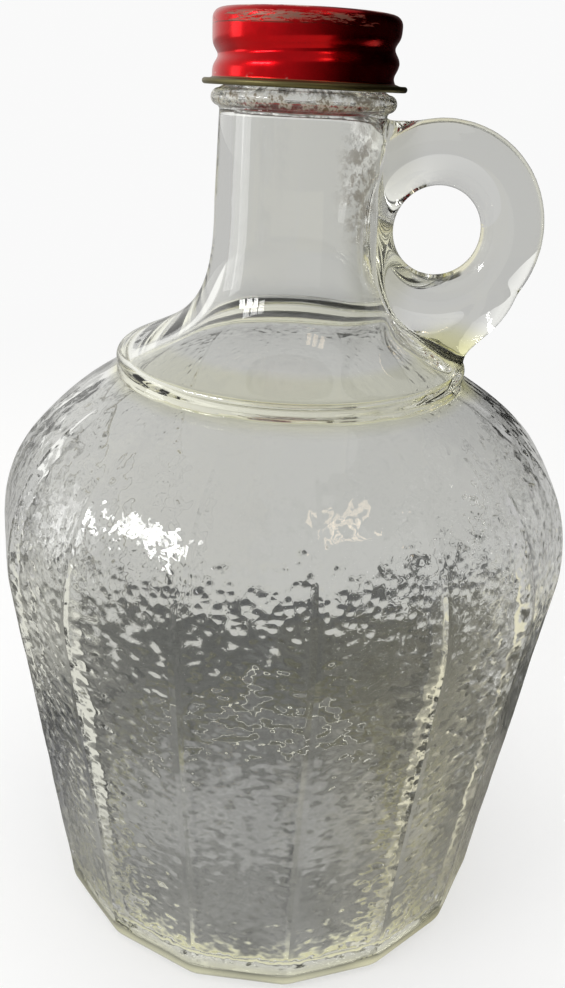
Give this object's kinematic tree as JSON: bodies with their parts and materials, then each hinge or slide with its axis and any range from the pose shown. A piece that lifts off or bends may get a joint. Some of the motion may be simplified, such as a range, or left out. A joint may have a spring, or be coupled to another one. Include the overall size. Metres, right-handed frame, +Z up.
{
  "type": "handled glass jug",
  "caption": "Clear glass jug with a panelled, tapering body, a round collar, a flared neck, a ring handle for one finger and a red metal screw cap.",
  "frame": {"origin": "centre of the base, on the surface that the jug stands on", "axes": "+Z up the jug's axis towards the cap; +X from the axis towards the handle"},
  "size_m": [0.1328, 0.1328, 0.2089],
  "materials": {
    "glass": "clear pressed glass, pebbled panels below a smooth shoulder",
    "lacquered_metal": "glossy red lacquer, worn at the top edge, bare metal at the curled rim"
  },
  "bodies": {
    "root": {"glass_jug": "glass", "screw_cap": "lacquered_metal"}
  },
  "joints": []
}
